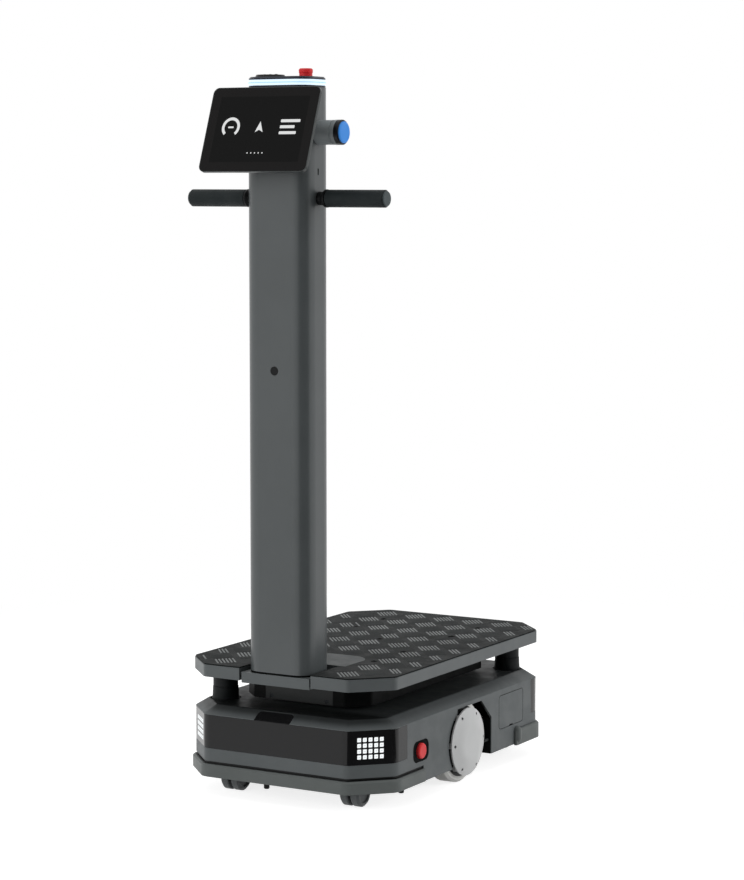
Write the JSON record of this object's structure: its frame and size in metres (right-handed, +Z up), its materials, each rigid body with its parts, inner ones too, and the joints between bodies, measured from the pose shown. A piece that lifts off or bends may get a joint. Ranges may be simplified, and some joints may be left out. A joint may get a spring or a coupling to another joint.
{
  "type": "autonomous mobile robot",
  "caption": "Low two-wheel-drive load carrier with corner casters, a raised load deck and a tall front mast holding a handlebar, tilted display, light ring and stop buttons.",
  "frame": {"origin": "middle of the bounding box, on the floor", "axes": "+Z up along the mast, -Y to the front with the display, +X to the viewer's right when looking at the front"},
  "size_m": [0.4736, 0.7928, 1.3706],
  "materials": {
    "grey_shell": "fine matte",
    "grey_paint": "fine-textured powder coat",
    "black_plastic": "satin",
    "smoked_window": "gloss",
    "white_light": "diffusing",
    "red_button": "satin",
    "blue_button": "satin",
    "black_steel": "satin",
    "bright_steel": "brushed",
    "polyurethane": "matte",
    "black_rubber": "matte",
    "caster_tread": "matte",
    "silver_cover": "satin",
    "grip_rubber": "matte",
    "screen_glass": "gloss",
    "mat_rubber": "ribbed matte"
  },
  "bodies": {
    "carrier": {"chassis_frame": "black_steel", "base_shell": "grey_shell", "front_window": "smoked_window", "rear_window": "smoked_window", "front_sensor_window": "smoked_window", "front_skirt": "grey_shell", "rear_skirt": "grey_shell", "led_tiles": "white_light", "stop_bezels": "black_plastic", "port_box": "black_plastic", "transport_studs": "black_rubber", "battery_pack": "black_plastic", "control_unit": "black_plastic", "drive_brackets": "black_steel", "drive_axles": "bright_steel", "caster_plates": "bright_steel", "deck_posts": "black_rubber", "deck_tray": "black_steel", "mast_foot": "grey_paint", "foot_bolts": "bright_steel", "foot_cover": "grey_paint", "deck_plate": "grey_paint", "rubber_mat": "mat_rubber", "mast_column": "grey_paint", "mast_plug": "black_plastic", "mast_neck": "black_plastic", "light_ring": "white_light", "mast_cap": "grey_shell", "top_camera_cover": "smoked_window", "top_stop_well": "black_plastic", "handle_tube": "black_steel", "handle_collars": "black_plastic", "handle_grips": "grip_rubber", "grip_ends": "black_plastic", "button_housing": "grey_shell", "button_bezel": "black_plastic", "display_housing": "black_plastic", "display_glass": "screen_glass", "display_arm": "black_steel"},
    "drive_wheel_right": {"hub_motor_right": "black_steel", "drive_tyre_right": "polyurethane", "wheel_cover_right": "silver_cover", "cover_screws_right": "bright_steel"},
    "drive_wheel_left": {"hub_motor_left": "black_steel", "drive_tyre_left": "polyurethane", "wheel_cover_left": "silver_cover", "cover_screws_left": "bright_steel"},
    "port_lid": {"port_flap": "grey_shell"},
    "stop_right": {"side_stop_right": "red_button"},
    "stop_left": {"side_stop_left": "red_button"},
    "stop_top": {"top_stop_cap": "red_button"},
    "signal_button": {"button_cap": "blue_button"},
    "caster_swivel_front_right": {"caster_fork_front_right": "black_steel"},
    "caster_wheel_front_right": {"caster_wheels_front_right": "caster_tread"},
    "caster_swivel_front_left": {"caster_fork_front_left": "black_steel"},
    "caster_wheel_front_left": {"caster_wheels_front_left": "caster_tread"},
    "caster_swivel_rear_right": {"caster_fork_rear_right": "black_steel"},
    "caster_wheel_rear_right": {"caster_wheels_rear_right": "caster_tread"},
    "caster_swivel_rear_left": {"caster_fork_rear_left": "black_steel"},
    "caster_wheel_rear_left": {"caster_wheels_rear_left": "caster_tread"}
  },
  "joints": [
    {"name": "drive_spin_right", "type": "hinge", "parent": "carrier", "child": "drive_wheel_right", "pos_m": [0.1935, 0.02, 0.0815], "axis": [1, 0, 0], "continuous": true},
    {"name": "drive_spin_left", "type": "hinge", "parent": "carrier", "child": "drive_wheel_left", "pos_m": [-0.1935, 0.02, 0.0815], "axis": [1, 0, 0], "continuous": true},
    {"name": "swivel_front_right", "type": "hinge", "parent": "carrier", "child": "caster_swivel_front_right", "pos_m": [0.1327, -0.27, 0.06], "axis": [0, 0, 1], "continuous": true},
    {"name": "roll_front_right", "type": "hinge", "parent": "caster_swivel_front_right", "child": "caster_wheel_front_right", "pos_m": [0.1327, -0.252, 0.025], "axis": [1, 0, 0], "continuous": true},
    {"name": "swivel_front_left", "type": "hinge", "parent": "carrier", "child": "caster_swivel_front_left", "pos_m": [-0.1327, -0.27, 0.06], "axis": [0, 0, 1], "continuous": true},
    {"name": "roll_front_left", "type": "hinge", "parent": "caster_swivel_front_left", "child": "caster_wheel_front_left", "pos_m": [-0.1327, -0.252, 0.025], "axis": [1, 0, 0], "continuous": true},
    {"name": "swivel_rear_right", "type": "hinge", "parent": "carrier", "child": "caster_swivel_rear_right", "pos_m": [0.1327, 0.318, 0.06], "axis": [0, 0, 1], "continuous": true},
    {"name": "roll_rear_right", "type": "hinge", "parent": "caster_swivel_rear_right", "child": "caster_wheel_rear_right", "pos_m": [0.1327, 0.336, 0.025], "axis": [1, 0, 0], "continuous": true},
    {"name": "swivel_rear_left", "type": "hinge", "parent": "carrier", "child": "caster_swivel_rear_left", "pos_m": [-0.1327, 0.318, 0.06], "axis": [0, 0, 1], "continuous": true},
    {"name": "roll_rear_left", "type": "hinge", "parent": "caster_swivel_rear_left", "child": "caster_wheel_rear_left", "pos_m": [-0.1327, 0.336, 0.025], "axis": [1, 0, 0], "continuous": true},
    {"name": "port_hinge", "type": "hinge", "parent": "carrier", "child": "port_lid", "pos_m": [0.2227, 0.212, 0.1454], "axis": [0, -1, 0], "range_deg": [0, 100]},
    {"name": "stop_push_right", "type": "slide", "parent": "carrier", "child": "stop_right", "axis": [-1, 0, 0], "range_m": [0, 0.004], "stiffness_N_per_m": 800},
    {"name": "stop_push_left", "type": "slide", "parent": "carrier", "child": "stop_left", "axis": [1, 0, 0], "range_m": [0, 0.004], "stiffness_N_per_m": 800},
    {"name": "stop_push_top", "type": "slide", "parent": "carrier", "child": "stop_top", "axis": [0, 0, -1], "range_m": [0, 0.0035], "stiffness_N_per_m": 800, "springref_m": -0.0005},
    {"name": "signal_push", "type": "slide", "parent": "carrier", "child": "signal_button", "axis": [-1, 0, 0], "range_m": [0, 0.003], "stiffness_N_per_m": 500}
  ]
}
